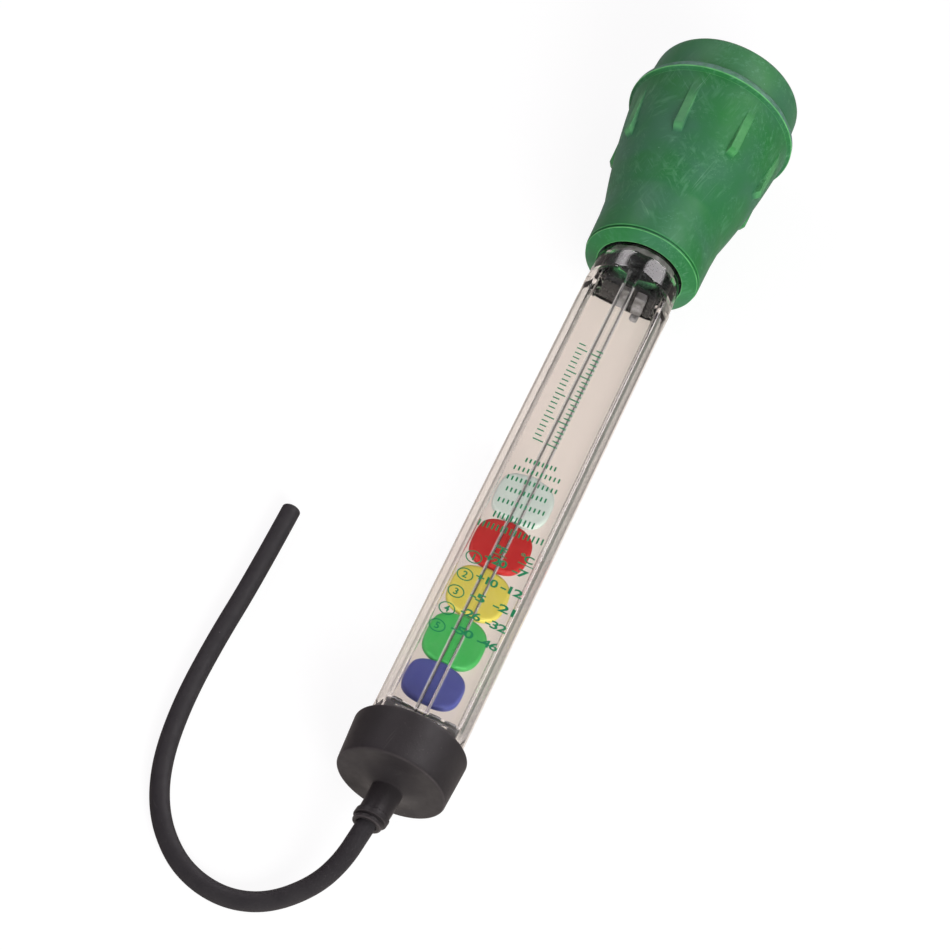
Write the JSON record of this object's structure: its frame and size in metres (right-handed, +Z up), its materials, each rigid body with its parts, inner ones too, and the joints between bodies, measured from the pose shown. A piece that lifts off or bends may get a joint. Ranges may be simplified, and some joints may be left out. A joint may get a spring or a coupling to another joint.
{
  "type": "antifreeze tester",
  "caption": "Hand-held float-disc antifreeze tester: squeeze bulb, clear flat-sided barrel with sliding discs, rubber end cap and a looped suction hose.",
  "frame": {"origin": "on the surface that the tool lies on, under the middle of the rigid tool without its hose", "axes": "+Z up; +X along the tool from the end cap to the squeeze bulb; +Y to the side where the hose's loop lies; the barrel's marked flat faces up"},
  "size_m": [0.3618, 0.1032, 0.0608],
  "materials": {
    "clear_acrylic": "clear moulded acrylic, polished",
    "black_rubber": "satin moulded rubber",
    "black_plastic": "gloss moulded plastic",
    "green_rubber": "satin moulded rubber, lightly scuffed",
    "hose_rubber": "smooth extruded rubber",
    "blue_disc_plastic": "gloss",
    "green_disc_plastic": "gloss",
    "yellow_disc_plastic": "gloss",
    "red_disc_plastic": "gloss",
    "clear_disc_plastic": "frosted gloss"
  },
  "bodies": {
    "tester": {"barrel": "clear_acrylic", "end_cap": "black_rubber", "lower_float_stop": "black_plastic", "upper_float_stop": "black_plastic", "squeeze_bulb": "green_rubber", "suction_hose": "hose_rubber"},
    "blue_disc": {"float_disc_blue": "blue_disc_plastic"},
    "green_disc": {"float_disc_green": "green_disc_plastic"},
    "yellow_disc": {"float_disc_yellow": "yellow_disc_plastic"},
    "red_disc": {"float_disc_red": "red_disc_plastic"},
    "clear_disc": {"float_disc_clear": "clear_disc_plastic"}
  },
  "joints": [
    {"name": "blue_disc_slide", "type": "slide", "parent": "tester", "child": "blue_disc", "axis": [0.9991, 0, 0.0417], "range_m": [0, 0.0146]},
    {"name": "green_disc_slide", "type": "slide", "parent": "blue_disc", "child": "green_disc", "axis": [0.9991, 0, 0.0417], "range_m": [0, 0.0146]},
    {"name": "yellow_disc_slide", "type": "slide", "parent": "green_disc", "child": "yellow_disc", "axis": [0.9991, 0, 0.0417], "range_m": [0, 0.0146]},
    {"name": "red_disc_slide", "type": "slide", "parent": "yellow_disc", "child": "red_disc", "axis": [0.9991, 0, 0.0417], "range_m": [0, 0.0146]},
    {"name": "clear_disc_slide", "type": "slide", "parent": "red_disc", "child": "clear_disc", "axis": [0.9991, 0, 0.0417], "range_m": [0, 0.0146]}
  ]
}
